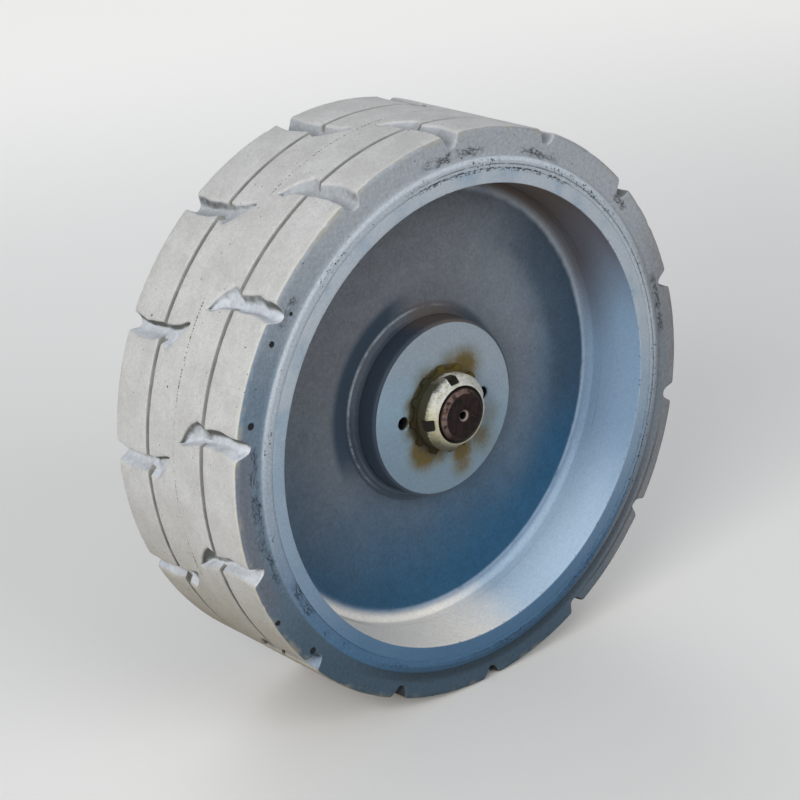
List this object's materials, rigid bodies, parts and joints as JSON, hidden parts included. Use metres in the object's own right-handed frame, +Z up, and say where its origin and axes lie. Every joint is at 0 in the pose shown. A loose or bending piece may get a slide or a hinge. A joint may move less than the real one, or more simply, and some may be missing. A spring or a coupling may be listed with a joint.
{
  "type": "scissor lift wheel",
  "caption": "Solid non-marking wheel of a scissor lift on its tapered axle shaft, held by a slotted nut, with the flanged hub and brake unit that carries it.",
  "frame": {"origin": "centre of the hub flange's mounting face, on the axle's axis", "axes": "+Y runs inboard along the axle, out of the mounting face; +Z is up; the wheel's dished outer side looks to -Y"},
  "size_m": [0.381, 0.2442, 0.381],
  "materials": {
    "tyre_rubber": "grey non-marking rubber, dusty and worn",
    "wheel_paint": "grey-blue satin paint with dust and grease",
    "shaft_steel": "bare steel, browned by rust",
    "nut_plating": "cream zinc plating with old grease",
    "cast_housing": "black painted casting",
    "seal_rubber": "black rubber",
    "bolt_steel": "zinc plated steel"
  },
  "bodies": {
    "hub_unit": {"hub_housing": "cast_housing", "shaft_seal": "seal_rubber", "brake_housing": "cast_housing", "brake_cover": "cast_housing", "cover_bolts": "bolt_steel", "release_fitting": "bolt_steel", "bleed_screw": "bolt_steel"},
    "wheel": {"tyre": "tyre_rubber", "rim_band": "wheel_paint", "wheel_disc": "wheel_paint", "hub_boss": "wheel_paint", "boss_weld": "wheel_paint", "axle_shaft": "shaft_steel", "shaft_key": "shaft_steel", "tab_washer": "nut_plating", "slotted_nut": "nut_plating"}
  },
  "joints": [
    {"name": "wheel_spin", "type": "hinge", "parent": "hub_unit", "child": "wheel", "pos_m": [0, -0.0785, 0], "axis": [0, 1, 0], "continuous": true}
  ]
}
